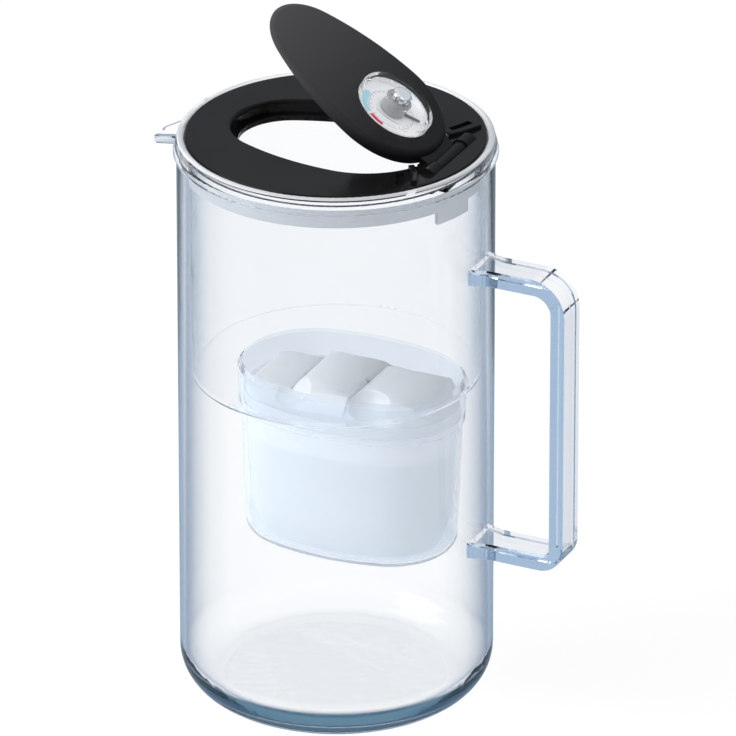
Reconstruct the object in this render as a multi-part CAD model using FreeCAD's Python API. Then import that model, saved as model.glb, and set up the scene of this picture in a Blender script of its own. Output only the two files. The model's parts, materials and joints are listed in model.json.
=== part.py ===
import FreeCAD, Part
import math
import os

os.makedirs("parts", exist_ok=True)
V = FreeCAD.Vector
UP = V(0, 0, 1)
ACROSS = V(0, 1, 0)

# Shared clearances, millimetres
GAP = 0.3
PIN_CLEAR = 0.05

# Glass jug: base underside at z 0, handle towards +X, pour lip towards -X
JUG_R = 66.0
JUG_WALL = 3.0
JUG_BASE = 7.0
JUG_HEEL = 19.0
JUG_WELL = 14.0
RIM_Z = 247.2
RIM_ROUND = 1.2

# Pour lip
LIP_REACH = 15.5
LIP_BELOW_RIM = 3.1
LIP_DROP = 6.5
LIP_ROOT_HALF = 15.0
LIP_ROOT_DEPTH = 8.5
LIP_TIP_HALF = 5.5
LIP_TIP_DEPTH = 5.0
LIP_WALL = 2.8
LIP_TIP_ROUND = 5.0

# Glass handle
HANDLE_REACH = 41.6
HANDLE_W = 16.5
HANDLE_POST_T = 6.3
HANDLE_ARM_T = 7.2
HANDLE_TOP_Z = 207.4
HANDLE_LOW_Z = 75.0
HANDLE_TOP_ROUND = 15.6
HANDLE_LOW_ROUND = 11.0
HANDLE_IN_TOP_ROUND = 8.0
HANDLE_IN_LOW_ROUND = 2.5
HANDLE_FOOT_W = 21.0
HANDLE_FOOT_REACH = 7.0
HANDLE_EDGE = 0.7

# Funnel: reservoir, and the rim ring lapped on its wall
RES_GAP = 2.0
RES_WALL = 2.0
RES_FLOOR = 2.5
RES_DEPTH = 101.8
RES_STRAIGHT = 15.0
RES_DRAFT = 0.9
RES_CORNER = 2.6
WEB_T = 1.7
SKIRT_T = 1.1
SKIRT_DROP = 1.9
BEAD_INSET = 2.9
BEAD_W = 2.5
BEAD_ROUND = 1.0
RING_H = 7.2
LAP_H = 2.4

# Funnel: oval socket for the cartridge
SOCKET_X = 7.0
SOCKET_INSET = 4.5
SOCKET_END_R = 31.5
SOCKET_BULGE = 2.5
SOCKET_WALL = 2.0
SOCKET_DRAFT = 0.5
SOCKET_DROP = 16.4
STEP_IN = 1.0
CUP_DEPTH = 59.0
CUP_DRAFT = 2.0
CUP_CORNER = 6.0
OUTLET_R = 6.0

# Grip collar on the reservoir
GASKET_H = 9.2
GASKET_OPEN_DEG = 92.0
TAB_AT_DEG = 15.0
TAB_WIDE_DEG = 17.0
TAB_DROP = 5.5

# Lid plate
LID_T = 2.7
LID_EDGE = 0.6
OPENING_GAP = 1.2
OPENING_ROUND = 1.8
COLLAR_DROP = 5.3
COLLAR_T = 2.2
LEDGE_IN = 2.6

# Flap outline, closed, seen from above
EGG_SIDE_INSET = 31.6
EGG_TIP_INSET = 18.9
EGG_TIP_SHARPER = 7.2
EGG_REAR_SHORTER = 0.2
EGG_REAR_FLATTER = 10.8
EGG_TO_HINGE = 6.0
FLAP_T = 6.0
FLAP_TIP_T = 1.0
FLAP_PROUD = 0.3
FLAP_ROUND = 3.0
FLAP_OPEN_DEG = 33.5
LINER_T = 1.0
LINER_INSET = 2.4
LINER_FROM_TIP = 21.9

# Hinge
HINGE_INSET = 11.8
HINGE_SINK = 2.2
PIN_R = 1.5
BARREL_R = 3.3
BARREL_HALF = 11.8
NECK_T = 2.6
TROUGH_WALL = 1.2
KNUCKLE_R = 4.0
KNUCKLE_W = 8.0
RIB_W = 2.6
RIB_ROUND = 0.65
RIB_H = 1.5
RIB_PATH = [(-8.4, 17.4), (-4.1, 23.4), (-0.6, 31.6)]
GROOVE_PATH = [(-10.2, 24.4), (-7.8, 29.4), (-5.8, 34.6)]
GROOVE_W = 3.2
GROOVE_DEEP = 1.2

# Counter on the flap
DIAL_TO_HINGE = 31.0
LENS_R = 16.7
LENS_H = 4.4
LENS_T = 1.2
LENS_BEVEL = 1.3
HOUSING_H = 10.0
HOUSING_T = 1.2
HOUSING_ROUND = 1.5
SCALE_T = 0.8
SCALE_SINK = 2.0
SPINDLE_R = 2.0
KNOB_R = 4.4
KNOB_H = 3.6
KNOB_CROWN = 1.4
KNOB_FLUTES = 8
FLUTE_R = 0.8
RING_R = 5.6
RING_RISE = 0.5
POINTER_LONG = 13.0
POINTER_HUB_R = 3.6
POINTER_HALF_W = 0.6
POINTER_TIP = 0.2
POINTER_T = 0.7
POINTER_DEG = 27.0
WHEEL_R = 8.0
WHEEL_T = 2.0
WHEEL_TEETH = 16
TOOTH_R = 0.9
LEAF_T = 0.6
LEAF_BEND = 1.5
LEAF_LONG = 5.4
LEAF_FOOT = 3.0

# Cartridge
CART_WALL = 1.6
CART_SHOULDER_H = 2.4
CART_DRAFT = 1.9
CART_FLOOR_GAP = 1.0
CART_KNEE_H = 13.0
CART_KNEE_IN = 4.2
CART_CORNER = 4.5
BAND_H = 13.5
BAND_T = 1.2
BAND_DRAFT = 0.6
SCREEN_T = 1.0
SLOT_COUNT = 5
SLOT_PITCH = 9.0
SLOT_LONG = 26.0
SLOT_W = 2.4
CAP_WALL = 1.6
CAP_END_IN = 5.5
CAP_END_RISE = 1.5
CROWN_HALF = 27.0
CROWN_FOOT = 1.0
BRIM_H = 2.0
INLET_R = 1.2
CAP_LEAN = 4.0
HUMP_LEFT = (-33.0, 9.0)
VALLEY_LEFT = (-20.0, 6.0)
HUMP_MID = (-6.0, 15.4)
VALLEY_RIGHT = (8.0, 8.4)
HUMP_RIGHT = (21.0, 13.4)
SCOOPS = [(-19.0, -24.0, 11.5), (17.0, -23.0, 11.5)]
SCOOP_RISE = 13.6

# Levels and radii that follow from the sizes above
JUG_IN = JUG_R - JUG_WALL
RES_R = JUG_IN - RES_GAP
WEB_Z = RIM_Z + GAP
LEDGE_Z = WEB_Z + WEB_T
LID_Z = LEDGE_Z + GAP
LID_TOP = LID_Z + LID_T
BEAD_IN = JUG_R - BEAD_INSET
BEAD_OUT = BEAD_IN + BEAD_W
SKIRT_IN = JUG_R + GAP
SKIRT_OUT = SKIRT_IN + SKIRT_T
LID_R = BEAD_IN - GAP
HANDLE_OUT_X = JUG_R + HANDLE_REACH
SOCKET_A = RES_R - SOCKET_X - SOCKET_INSET
SOCKET_B = SOCKET_END_R + SOCKET_BULGE
HINGE_X = LID_R - HINGE_INSET
DIAL_X = HINGE_X - DIAL_TO_HINGE
EGG_HALF_W = LID_R - EGG_SIDE_INSET
EGG_REAR_A = EGG_HALF_W - EGG_REAR_SHORTER
EGG_REAR_R = EGG_HALF_W + EGG_REAR_FLATTER
EGG_TIP_R = EGG_HALF_W - EGG_TIP_SHARPER
EGG_X = HINGE_X - EGG_TO_HINGE - EGG_REAR_A
EGG_TIP_X = EGG_TIP_INSET - LID_R
EGG_TIP_A = EGG_X - EGG_TIP_X
LINER_FRONT_X = EGG_TIP_X + LINER_FROM_TIP
CAP_END = SOCKET_A - CAP_END_IN
RING_Z = WEB_Z - RING_H
LAP_R = RES_R - RES_WALL / 2
FLOOR_Z = RIM_Z - RES_DEPTH
STEP_Z = FLOOR_Z - SOCKET_DROP
CUP_Z = STEP_Z - CUP_DEPTH
SEAT_Z = STEP_Z + SOCKET_WALL
CUP_TOP = -SOCKET_DRAFT - STEP_IN
CUP_END = CUP_TOP - CUP_DRAFT
FLAP_TOP = LID_TOP + FLAP_PROUD
FLAP_LOW = FLAP_TOP - FLAP_T
FLAP_SLOPE = (FLAP_T - FLAP_TIP_T) / (EGG_REAR_A + EGG_TIP_A)
SEAT_LEDGE_Z = FLAP_LOW - GAP
HINGE_Z = FLAP_TOP - HINGE_SINK
TROUGH_HALF = BARREL_HALF + GAP
TROUGH_Z = SEAT_LEDGE_Z
HOUSING_R = LENS_R
HOUSING_Z = FLAP_TOP - HOUSING_H
SCALE_TOP = FLAP_TOP - SCALE_SINK
RING_TOP = FLAP_TOP + LENS_H + RING_RISE
SHOULDER_Z = SEAT_Z + GAP
CAP_Z = SHOULDER_Z + CART_SHOULDER_H
CART_Z = CUP_Z + SOCKET_WALL + CART_FLOOR_GAP

EGG = (EGG_X, EGG_HALF_W, EGG_REAR_A, EGG_REAR_R, EGG_TIP_A, EGG_TIP_R)
OVAL = (SOCKET_X, SOCKET_B, SOCKET_A, SOCKET_END_R, SOCKET_A, SOCKET_END_R)


def rounded(corners, place):
    """Closed outline through (u, v, radius) corners, each corner cut by a tangent arc."""
    count = len(corners)
    legs = []
    for i in range(count):
        p = V(corners[i][0], corners[i][1], 0)
        radius = corners[i][2]
        before = (V(*corners[i - 1][:2], 0) - p).normalize()
        after = (V(*corners[(i + 1) % count][:2], 0) - p).normalize()
        if radius == 0:
            legs.append((p, None, p))
            continue
        half = before.getAngle(after) / 2
        run = radius / math.tan(half)
        middle = (before + after).normalize() * (radius / math.sin(half) - radius)
        legs.append((p + before * run, p + middle, p + after * run))
    edges = []
    for i in range(count):
        start, middle, end = legs[i]
        if middle is not None:
            edges.append(Part.Arc(place(start), place(middle), place(end)).toShape())
        following = legs[(i + 1) % count][0]
        if (following - end).Length > 1e-6:
            edges.append(Part.LineSegment(place(end), place(following)).toShape())
    return Part.Wire(edges)


def side(p):
    return V(p.x, 0, p.y)


def plan(p):
    return V(p.x, p.y, 0)


def turned(corners):
    """Solid of revolution about Z from (radius, height, rounding) corners."""
    return Part.Face(rounded(corners, side)).revolve(V(), UP, 360)


def side_slab(corners, half_width):
    """XZ outline stretched across Y, the same on both sides."""
    slab = Part.Face(rounded(corners, side)).extrude(V(0, 2 * half_width, 0))
    slab.translate(V(0, -half_width, 0))
    return slab


def plan_slab(corners, z0, z1):
    slab = Part.Face(rounded(corners, plan)).extrude(V(0, 0, z1 - z0))
    slab.translate(V(0, 0, z0))
    return slab


def disc(radius, x, z0, z1):
    return Part.makeCylinder(radius, z1 - z0, V(x, 0, z0))


def bar(radius, x, z, y0, y1):
    return Part.makeCylinder(radius, y1 - y0, V(x, y0, z), ACROSS)


def sector(r_in, r_out, z0, z1, middle_deg, wide_deg):
    """Part of a ring, centred on a bearing from +X."""
    outer = Part.makeCylinder(r_out, z1 - z0, V(0, 0, z0), UP, wide_deg)
    ring = outer.cut(Part.makeCylinder(r_in, z1 - z0, V(0, 0, z0)))
    ring.rotate(V(), UP, middle_deg - wide_deg / 2)
    return ring


def egg_half(shape, sense, z, grow):
    """Arc ends and middles of one half of an egg: side arc, then end arc."""
    x0, b, a, r = shape
    b, a, r = b + grow, a + grow, r + grow
    big = (a * a + b * b - 2 * a * r) / (2 * (b - r))
    centre = V(0, b - big, 0)
    tip = V(a - r, 0, 0)
    way = (tip - centre).normalize() * math.copysign(1, big - r)
    join = centre + way * big
    top = V(0, b, 0)
    bulge = centre + ((top - centre).normalize() + way).normalize() * big
    points = [top, bulge, join, V(a, 0, 0)]
    return [V(x0 + sense * p.x, p.y, z) for p in points]


def egg_wire(egg, z, grow):
    """Egg of six tangent arcs; growing keeps the centres, so walls stay even."""
    x0, b, a_rear, r_rear, a_tip, r_tip = egg
    rear = egg_half((x0, b, a_rear, r_rear), 1, z, grow)
    tip = egg_half((x0, b, a_tip, r_tip), -1, z, grow)

    def low(p):
        return V(p.x, -p.y, p.z)

    runs = [
        (low(rear[2]), rear[3], rear[2]),
        (rear[2], rear[1], rear[0]),
        (tip[0], tip[1], tip[2]),
        (tip[2], tip[3], low(tip[2])),
        (low(tip[2]), low(tip[1]), low(tip[0])),
        (low(rear[0]), low(rear[1]), low(rear[2])),
    ]
    return Part.Wire([Part.Arc(*run).toShape() for run in runs])


def egg_solid(egg, levels):
    """Ruled solid through (z, grow) levels of one egg."""
    return Part.makeLoft([egg_wire(egg, z, grow) for z, grow in levels], True, True)


def edges_at(shape, z):
    """Edges lying wholly in one level."""
    found = []
    for edge in shape.Edges:
        box = edge.BoundBox
        if abs(box.ZMin - z) < 1e-4 and abs(box.ZMax - z) < 1e-4:
            found.append(edge)
    return found


def lip_section(x, top, half, depth, rise):
    """Trough cross-section: an arc below, straight sides raised above it."""
    left, low, right = V(x, -half, top), V(x, 0, top - depth), V(x, half, top)
    over_left, over_right = V(x, -half, top + rise), V(x, half, top + rise)
    edges = [Part.Arc(left, low, right).toShape()]
    if rise == 0:
        edges.append(Part.LineSegment(right, left).toShape())
        return Part.Wire(edges)
    edges.append(Part.LineSegment(right, over_right).toShape())
    edges.append(Part.LineSegment(over_right, over_left).toShape())
    edges.append(Part.LineSegment(over_left, left).toShape())
    return Part.Wire(edges)


def lip_loft(start, end, inset, rise):
    """Trough body between two distances from the jug wall, negative ones inside."""
    sections = []
    for out in (start, end):
        share = out / LIP_REACH
        top = RIM_Z - LIP_BELOW_RIM - LIP_DROP * share
        half = LIP_ROOT_HALF + (LIP_TIP_HALF - LIP_ROOT_HALF) * share - inset
        depth = LIP_ROOT_DEPTH + (LIP_TIP_DEPTH - LIP_ROOT_DEPTH) * share - inset
        sections.append(lip_section(-JUG_R - out, top, half, depth, rise))
    return Part.makeLoft(sections, True, True)


def glass_jug():
    body = turned([
        (0, 0, 0), (JUG_R, 0, JUG_HEEL), (JUG_R, RIM_Z, RIM_ROUND), (JUG_IN, RIM_Z, RIM_ROUND),
        (JUG_IN, JUG_BASE, JUG_WELL), (0, JUG_BASE, 0),
    ])
    inside = -JUG_WALL
    tip_x = -JUG_R - LIP_REACH
    lip = lip_loft(inside, LIP_REACH, 0, 0)
    lip = lip.common(plan_slab([
        (-JUG_IN, LIP_ROOT_HALF * 2, 0), (tip_x, LIP_TIP_HALF + GAP, LIP_TIP_ROUND),
        (tip_x, -LIP_TIP_HALF - GAP, LIP_TIP_ROUND), (-JUG_IN, -LIP_ROOT_HALF * 2, 0),
    ], 0, RIM_Z))
    lip = lip.cut(disc(JUG_R - JUG_WALL / 2, 0, 0, RIM_Z))
    channel = lip_loft(2 * inside, LIP_REACH + JUG_WALL, LIP_WALL, LIP_ROOT_HALF)
    return body.fuse(lip).cut(channel).removeSplitter()


def glass_handle():
    start = JUG_IN
    in_x = HANDLE_OUT_X - HANDLE_POST_T
    strap = side_slab([
        (start, HANDLE_TOP_Z, 0), (HANDLE_OUT_X, HANDLE_TOP_Z, HANDLE_TOP_ROUND),
        (HANDLE_OUT_X, HANDLE_LOW_Z, HANDLE_LOW_ROUND), (start, HANDLE_LOW_Z, 0),
        (start, HANDLE_LOW_Z + HANDLE_ARM_T, 0),
        (in_x, HANDLE_LOW_Z + HANDLE_ARM_T, HANDLE_IN_LOW_ROUND),
        (in_x, HANDLE_TOP_Z - HANDLE_ARM_T, HANDLE_IN_TOP_ROUND),
        (start, HANDLE_TOP_Z - HANDLE_ARM_T, 0),
    ], HANDLE_FOOT_W)
    foot = HANDLE_FOOT_W / 2
    half = HANDLE_W / 2
    bend = JUG_R + HANDLE_FOOT_REACH
    outline = plan_slab([
        (start, -foot, 0), (JUG_R, -foot, 0), (bend, -half, HANDLE_FOOT_REACH),
        (HANDLE_OUT_X + GAP, -half, 0), (HANDLE_OUT_X + GAP, half, 0),
        (bend, half, HANDLE_FOOT_REACH), (JUG_R, foot, 0), (start, foot, 0),
    ], 0, RIM_Z)
    strap = strap.common(outline).removeSplitter()
    long_edges = [e for e in strap.Edges if abs(abs(e.CenterOfMass.y) - half) < 0.01]
    strap = strap.makeChamfer(HANDLE_EDGE, [e for e in long_edges if e.BoundBox.XMax > bend])
    return strap.cut(disc(JUG_R, 0, 0, RIM_Z))


def funnel():
    straight_z = WEB_Z - RES_STRAIGHT
    body = turned([
        (0, FLOOR_Z, 0), (RES_R - RES_DRAFT, FLOOR_Z, RES_CORNER), (RES_R, straight_z, 0),
        (RES_R, RING_Z, 0), (LAP_R, RING_Z, 0), (LAP_R, RING_Z + LAP_H, 0),
        (RES_R - RES_WALL, RING_Z + LAP_H, 0), (RES_R - RES_WALL, straight_z, 0),
        (RES_R - RES_WALL - RES_DRAFT, FLOOR_Z + RES_FLOOR, 0),
        (0, FLOOR_Z + RES_FLOOR, 0),
    ])
    collar = egg_solid(OVAL, [(STEP_Z, -SOCKET_DRAFT), (FLOOR_Z + RES_FLOOR, 0)])
    cup = egg_solid(OVAL, [(CUP_Z, CUP_END), (STEP_Z, CUP_TOP)])
    cup = cup.makeFillet(CUP_CORNER, edges_at(cup, CUP_Z))
    well = egg_solid(OVAL, [(SEAT_Z, -SOCKET_DRAFT - SOCKET_WALL),
                            (FLOOR_Z + RES_FLOOR, -SOCKET_WALL)])
    bore = egg_solid(OVAL, [(CUP_Z + SOCKET_WALL, CUP_END - SOCKET_WALL),
                            (SEAT_Z, CUP_TOP - SOCKET_WALL)])
    bore = bore.makeFillet(CUP_CORNER - SOCKET_WALL, edges_at(bore, CUP_Z + SOCKET_WALL))
    outlet = disc(OUTLET_R, SOCKET_X, CUP_Z, CUP_Z + SOCKET_WALL)
    return body.fuse([collar, cup]).cut(well).cut(bore).cut(outlet).removeSplitter()


def funnel_rim():
    r_in = RES_R - RES_WALL
    return turned([
        (r_in, RING_Z + LAP_H, 0), (LAP_R, RING_Z + LAP_H, 0), (LAP_R, RING_Z, 0), (RES_R, RING_Z, 0),
        (RES_R, WEB_Z, 0), (SKIRT_IN, WEB_Z, 0), (SKIRT_IN, RIM_Z - SKIRT_DROP, 0),
        (SKIRT_OUT, RIM_Z - SKIRT_DROP, 0), (BEAD_OUT, LID_TOP, BEAD_ROUND),
        (BEAD_IN, LID_TOP, BEAD_ROUND), (BEAD_IN, LEDGE_Z, 0), (r_in, LEDGE_Z, 0),
    ])


def funnel_gasket():
    outer = JUG_IN - GAP
    z0 = WEB_Z - GASKET_H
    ring = sector(RES_R, outer, z0, WEB_Z, 0, 360 - GASKET_OPEN_DEG)
    for sense in (-1, 1):
        tab = sector(RES_R, outer, z0 - TAB_DROP, z0, sense * TAB_AT_DEG, TAB_WIDE_DEG)
        ring = ring.fuse(tab)
    return ring.removeSplitter()


def curved_band(start, middle, end, width, z0, z1):
    """Strip of even width along a plan arc through three points from the hinge."""
    points = [V(HINGE_X + x, y, 0) for x, y in (start, middle, end)]
    centre = Part.Arc(*points).toShape().Curve.Center
    inner, outer = [], []
    for point in points:
        ray = (point - centre).normalize()
        inner.append(point - ray * (width / 2))
        outer.append(point + ray * (width / 2))
    edges = [
        Part.Arc(*inner).toShape(),
        Part.LineSegment(inner[2], outer[2]).toShape(),
        Part.Arc(*reversed(outer)).toShape(),
        Part.LineSegment(outer[0], inner[0]).toShape(),
    ]
    band = Part.Face(Part.Wire(edges)).extrude(V(0, 0, z1 - z0))
    band.translate(V(0, 0, z0))
    return band


def mirrored(shape):
    return shape.mirror(V(), ACROSS)


def lid_plate():
    plate = disc(LID_R, 0, LID_Z, LID_TOP)
    plate = plate.makeChamfer(LID_EDGE, edges_at(plate, LID_TOP))
    low = LID_Z - COLLAR_DROP
    collar = egg_solid(EGG, [(low, OPENING_GAP - LEDGE_IN + COLLAR_T),
                             (LID_Z, OPENING_GAP + COLLAR_T)])
    opening = egg_solid(EGG, [(SEAT_LEDGE_Z, OPENING_GAP), (LID_TOP, OPENING_GAP)])
    throat = egg_solid(EGG, [(low, OPENING_GAP - LEDGE_IN), (SEAT_LEDGE_Z, OPENING_GAP - LEDGE_IN)])
    plate = plate.fuse(collar).cut(opening).cut(throat)
    edge = [e for e in edges_at(plate, LID_TOP) if e.BoundBox.XMax < LID_R - BEAD_W]
    plate = plate.makeFillet(OPENING_ROUND, edge)

    front = EGG_X + EGG_REAR_A - LEDGE_IN
    rear = HINGE_X + BARREL_R + GAP
    half = TROUGH_HALF + TROUGH_WALL
    floor = TROUGH_Z - TROUGH_WALL
    trough = Part.makeBox(rear + TROUGH_WALL - front, 2 * half, LID_TOP - floor, V(front, -half, floor))
    knuckles = bar(KNUCKLE_R, HINGE_X, HINGE_Z, -TROUGH_HALF - KNUCKLE_W, TROUGH_HALF + KNUCKLE_W)
    hollow = Part.makeBox(rear - front, 2 * TROUGH_HALF, KNUCKLE_R * 3, V(front, -TROUGH_HALF, TROUGH_Z))
    plate = plate.fuse([trough.common(disc(LID_R, 0, floor, LID_TOP)), knuckles])

    for flip in (False, True):
        rib = curved_band(*RIB_PATH, RIB_W, LID_Z, LID_TOP + RIB_H)
        rib = rib.makeFillet(RIB_ROUND, edges_at(rib, LID_TOP + RIB_H))
        rib = rib.common(disc(LID_R - LID_EDGE, 0, LID_Z, LID_TOP + RIB_H))
        groove = curved_band(*GROOVE_PATH, GROOVE_W, LID_TOP - GROOVE_DEEP, LID_TOP + RIB_H)
        if flip:
            rib = mirrored(rib)
            groove = mirrored(groove)
        plate = plate.fuse(rib).cut(groove)

    open_egg = egg_solid(EGG, [(SEAT_LEDGE_Z, OPENING_GAP), (LID_TOP + KNUCKLE_R, OPENING_GAP)])
    pin_hole = bar(PIN_R, HINGE_X, HINGE_Z, -LID_R, LID_R)
    return plate.cut([hollow, open_egg, pin_hole]).removeSplitter()


def hinge_pin():
    reach = TROUGH_HALF + KNUCKLE_W
    return bar(PIN_R, HINGE_X, HINGE_Z, -reach, reach)


def below_flap(lift, front_x):
    """Everything under the sloping underside of the closed flap, raised by a lift."""
    rear = EGG_X + EGG_REAR_A
    back_x = HINGE_X
    deep = HOUSING_Z - HOUSING_H

    def low(x):
        return FLAP_LOW + lift + (rear - x) * FLAP_SLOPE

    return side_slab([(front_x, deep, 0), (back_x, deep, 0), (back_x, low(back_x), 0),
                      (front_x, low(front_x), 0)], LID_R)


def liner_space():
    inside = egg_solid(EGG, [(FLAP_LOW - GAP, -LINER_INSET), (FLAP_TOP, -LINER_INSET)])
    return inside.common(below_flap(LINER_T, LINER_FRONT_X))


def flap_cover():
    body = egg_solid(EGG, [(FLAP_LOW, 0), (FLAP_TOP, 0)])
    body = body.makeFillet(FLAP_ROUND, edges_at(body, FLAP_TOP))
    neck_x = EGG_X + EGG_REAR_A - LINER_INSET
    neck = Part.makeBox(HINGE_X - neck_x, 2 * BARREL_HALF, NECK_T,
                        V(neck_x, -BARREL_HALF, HINGE_Z - NECK_T))
    barrel = bar(BARREL_R, HINGE_X, HINGE_Z, -BARREL_HALF, BARREL_HALF)
    bore = bar(PIN_R + PIN_CLEAR, HINGE_X, HINGE_Z, -BARREL_HALF, BARREL_HALF)
    window = disc(HOUSING_R, DIAL_X, FLAP_LOW, FLAP_TOP)
    body = body.fuse(neck).cut([below_flap(0, -LID_R), liner_space(), window])
    return body.fuse(barrel).cut(bore).removeSplitter()


def flap_liner():
    liner = liner_space().cut(below_flap(0, -LID_R))
    return liner.cut(disc(HOUSING_R, DIAL_X, FLAP_LOW, FLAP_TOP))


def at_dial(shape):
    shape.translate(V(DIAL_X, 0, 0))
    return shape


def counter_housing():
    r_in = HOUSING_R - HOUSING_T
    top = FLAP_TOP
    return at_dial(turned([
        (SPINDLE_R + PIN_CLEAR, HOUSING_Z, 0), (HOUSING_R, HOUSING_Z, HOUSING_ROUND),
        (HOUSING_R, top, 0), (r_in, top, 0), (r_in, HOUSING_Z + HOUSING_T, 0),
        (SPINDLE_R + PIN_CLEAR, HOUSING_Z + HOUSING_T, 0),
    ]))


def scale_disc():
    plate = disc(HOUSING_R - HOUSING_T, DIAL_X, SCALE_TOP - SCALE_T, SCALE_TOP)
    return plate.cut(disc(SPINDLE_R + GAP, DIAL_X, HOUSING_Z, FLAP_TOP))


def counter_lens():
    top = FLAP_TOP + LENS_H
    hole = RING_R + GAP
    r_in = HOUSING_R - HOUSING_T
    return at_dial(turned([
        (r_in, FLAP_TOP, 0), (LENS_R, FLAP_TOP, 0), (LENS_R, top - LENS_BEVEL, 0),
        (LENS_R - LENS_BEVEL, top, 0), (hole, top, 0), (hole, top - LENS_T, 0),
        (r_in - LENS_BEVEL, top - LENS_T, 0), (r_in, top - LENS_T - LENS_BEVEL, 0),
    ]))


def wheel_levels():
    z0 = HOUSING_Z + HOUSING_T + GAP
    return z0, z0 + WHEEL_T


def detent_spring():
    z0, z1 = wheel_levels()
    near = -WHEEL_R - GAP
    far = near - LEAF_T
    foot = far - LEAF_FOOT
    leaf = plan_slab([
        (far, -TOOTH_R, 0), (near, -TOOTH_R, 0), (near, LEAF_LONG + LEAF_T, LEAF_BEND),
        (foot, LEAF_LONG + LEAF_T, 0), (foot, LEAF_LONG, 0), (far, LEAF_LONG, LEAF_BEND - LEAF_T),
    ], z0, z1)
    floor = HOUSING_Z + HOUSING_T
    post = Part.makeBox(LEAF_T * 2, LEAF_T * 3, z1 - floor, V(foot, LEAF_LONG - LEAF_T, floor))
    return at_dial(leaf.fuse(post).removeSplitter())


def click_wheel():
    z0, z1 = wheel_levels()
    wheel = disc(WHEEL_R, 0, z0, z1)
    for i in range(WHEEL_TEETH):
        turn = math.radians(360.0 * i / WHEEL_TEETH + 180)
        spot = V(WHEEL_R * math.cos(turn), WHEEL_R * math.sin(turn), z0)
        wheel = wheel.cut(Part.makeCylinder(TOOTH_R, WHEEL_T, spot))
    return at_dial(wheel.cut(disc(SPINDLE_R, 0, z0, z1)))


def counter_spindle():
    return disc(SPINDLE_R, DIAL_X, HOUSING_Z, RING_TOP)


def counter_pointer():
    z0 = SCALE_TOP + GAP
    hub = disc(POINTER_HUB_R, 0, z0, z0 + POINTER_T)
    needle = plan_slab([
        (0, -POINTER_HALF_W * 1.5, 0), (POINTER_LONG, -POINTER_HALF_W / 2, POINTER_TIP),
        (POINTER_LONG, POINTER_HALF_W / 2, POINTER_TIP), (0, POINTER_HALF_W * 1.5, 0),
    ], z0, z0 + POINTER_T)
    pointer = hub.fuse(needle).cut(disc(SPINDLE_R, 0, z0, z0 + POINTER_T)).removeSplitter()
    pointer.rotate(V(), UP, POINTER_DEG)
    return at_dial(pointer)


def knob_ring():
    z0 = SCALE_TOP + GAP + POINTER_T
    return disc(RING_R, DIAL_X, z0, RING_TOP).cut(disc(SPINDLE_R, DIAL_X, z0, RING_TOP))


def reset_knob():
    z0 = RING_TOP
    knob = turned([(0, z0, 0), (KNOB_R, z0, 0), (KNOB_R, z0 + KNOB_H, KNOB_CROWN), (0, z0 + KNOB_H, 0)])
    for i in range(KNOB_FLUTES):
        turn = math.radians(360.0 * i / KNOB_FLUTES)
        spot = V(KNOB_R * math.cos(turn), KNOB_R * math.sin(turn), z0)
        knob = knob.cut(Part.makeCylinder(FLUTE_R, KNOB_H, spot))
    return at_dial(knob)


def cart_levels():
    """Outside of the filter body, shoulder to floor, as (z, grow) levels."""
    top = CUP_TOP - SOCKET_WALL - GAP
    band_low = SHOULDER_Z - BAND_H
    knee = top - CART_DRAFT
    return [(CART_Z, knee - CART_KNEE_IN), (CART_Z + CART_KNEE_H, knee), (band_low, top - BAND_DRAFT),
            (SHOULDER_Z, top)]


def inside_levels(extra):
    """The same body drawn in by a wall."""
    levels = cart_levels()
    low_z, low_grow = levels[0]
    floor = [(low_z + extra, low_grow - extra)]
    return floor + [(z, grow - extra) for z, grow in levels[1:]]


def cartridge_shell():
    levels = cart_levels()
    body = egg_solid(OVAL, levels)
    body = body.makeFillet(CART_CORNER / 2, edges_at(body, CART_Z))
    shoulder = egg_solid(OVAL, [(SHOULDER_Z, -SOCKET_DRAFT - SOCKET_WALL - GAP),
                                (CAP_Z, -SOCKET_DRAFT - SOCKET_WALL - GAP)])
    top = levels[-1][1]
    band_low = levels[-2][0]
    band_seat = egg_solid(OVAL, [(band_low, top), (SHOULDER_Z, top)])
    band_seat = band_seat.cut(egg_solid(OVAL, [(band_low, top - BAND_T), (SHOULDER_Z, top - BAND_T)]))
    inner = egg_solid(OVAL, inside_levels(CART_WALL + BAND_T))
    mouth = egg_solid(OVAL, [(SHOULDER_Z, top - CART_WALL - BAND_T), (CAP_Z, top - CART_WALL - BAND_T)])
    shell = body.cut(band_seat).fuse(shoulder).cut(inner).cut(mouth)
    for i in range(SLOT_COUNT):
        x = SOCKET_X + (i - (SLOT_COUNT - 1) / 2) * SLOT_PITCH
        depth = CART_WALL + BAND_T
        slot = Part.makeBox(SLOT_W, SLOT_LONG, depth, V(x - SLOT_W / 2, -SLOT_LONG / 2, CART_Z))
        shell = shell.cut(slot)
    return shell.removeSplitter()


def cartridge_gasket():
    levels = cart_levels()
    top = levels[-1][1]
    band_low = levels[-2][0]
    band = egg_solid(OVAL, [(band_low, top - BAND_DRAFT), (SHOULDER_Z, top)])
    return band.cut(egg_solid(OVAL, [(band_low, top - BAND_T), (SHOULDER_Z, top - BAND_T)]))


def screen(z):
    """Perforated oval plate that fills the filter body at one level."""
    levels = inside_levels(CART_WALL + BAND_T)
    for (z0, g0), (z1, g1) in zip(levels, levels[1:]):
        if z0 - 1e-6 <= z and z + SCREEN_T <= z1 + 1e-6:
            low = g0 + (g1 - g0) * (z - z0) / (z1 - z0)
            high = g0 + (g1 - g0) * (z + SCREEN_T - z0) / (z1 - z0)
            return egg_solid(OVAL, [(z, low), (z + SCREEN_T, high)])
    raise ValueError("no level holds the screen")


def outlet_screen():
    return screen(CART_Z + CART_WALL + BAND_T)


def inlet_screen():
    return screen(SHOULDER_Z - SCREEN_T)


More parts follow.
